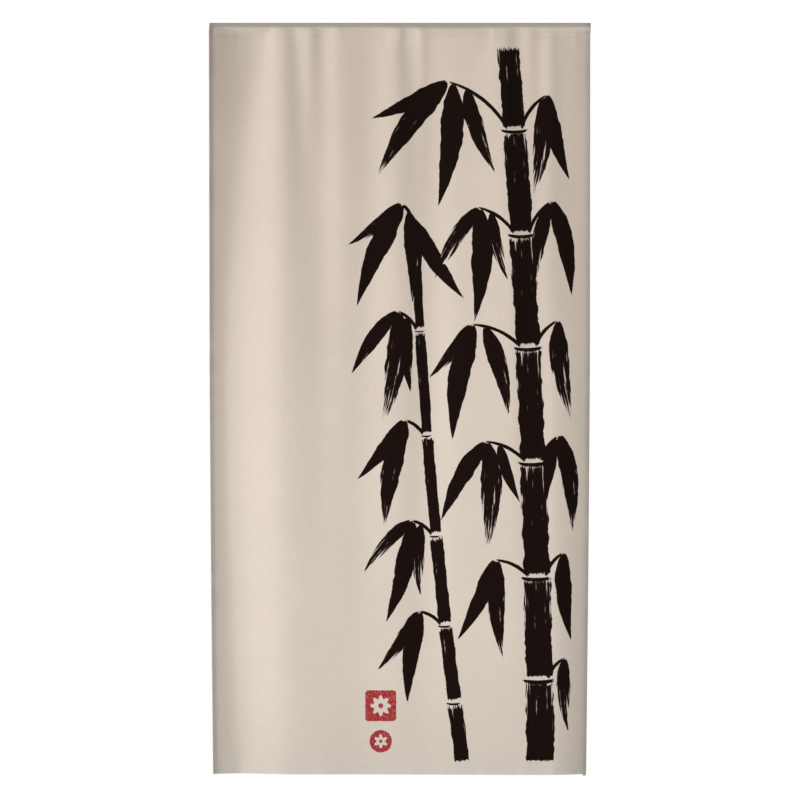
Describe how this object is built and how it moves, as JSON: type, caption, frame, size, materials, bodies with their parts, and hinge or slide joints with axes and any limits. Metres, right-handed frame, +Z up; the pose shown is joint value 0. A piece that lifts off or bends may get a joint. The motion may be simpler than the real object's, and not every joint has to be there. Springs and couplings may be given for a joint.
{
  "type": "door curtain",
  "caption": "Flat cloth door curtain that hangs from a sewn rod pocket along its top edge, with narrow hems and soft uneven folds.",
  "frame": {"origin": "middle of the top edge, over the middle of the rod pocket", "axes": "+Z up along the drop, +X to the right across the width as seen from the front, the printed front faces -Y"},
  "size_m": [0.912, 0.0383, 1.805],
  "materials": {
    "cloth": "matte plain weave, printed on the front"
  },
  "bodies": {
    "root": {"panel": "cloth", "rod_pocket": "cloth"}
  },
  "joints": []
}
